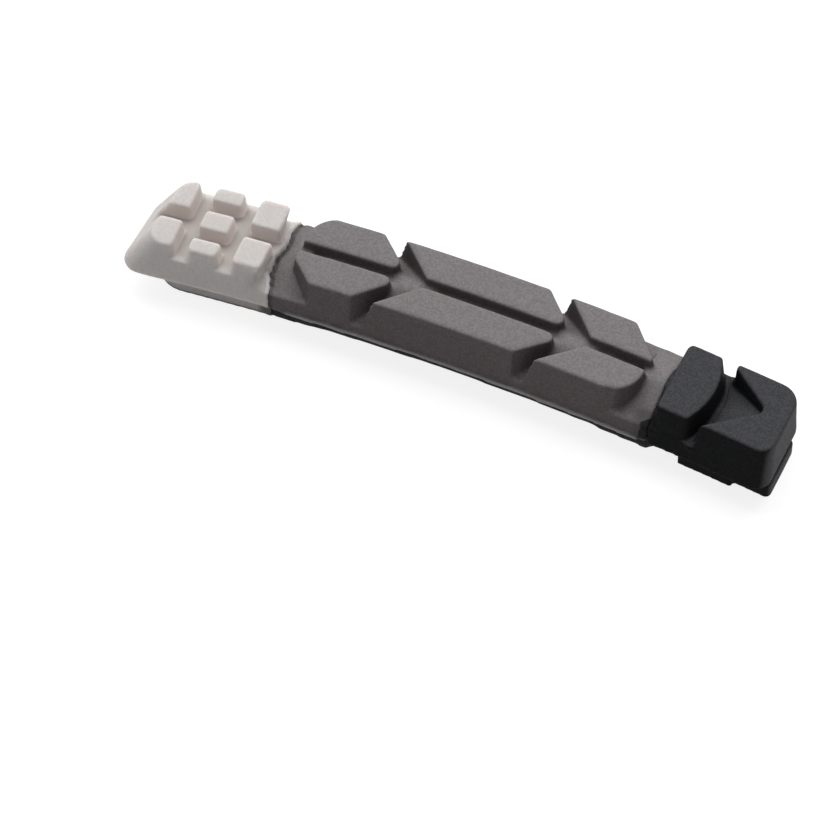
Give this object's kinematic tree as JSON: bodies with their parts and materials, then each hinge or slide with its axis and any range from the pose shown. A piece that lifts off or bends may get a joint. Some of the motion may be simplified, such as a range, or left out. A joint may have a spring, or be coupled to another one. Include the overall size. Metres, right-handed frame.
{
  "type": "bicycle rim brake pad insert",
  "caption": "Curved rubber insert for a rim brake shoe, moulded from light, grey and black compounds, with a grooved braking face and an undercut rail on the back.",
  "frame": {"origin": "on the back face of the rail, on its middle line at the crown of the plan curve", "axes": "+X along the chord from the light end to the black end, +Y to the outside of the rim's curve, +Z out of the braking face"},
  "size_m": [0.0713, 0.0127, 0.0079],
  "materials": {
    "light_rubber": "matt, pale warm grey",
    "grey_rubber": "matt, mid grey with fine speckle",
    "black_rubber": "matt, near black"
  },
  "bodies": {
    "root": {"light_compound": "light_rubber", "grey_compound": "grey_rubber", "black_compound": "black_rubber"}
  },
  "joints": []
}
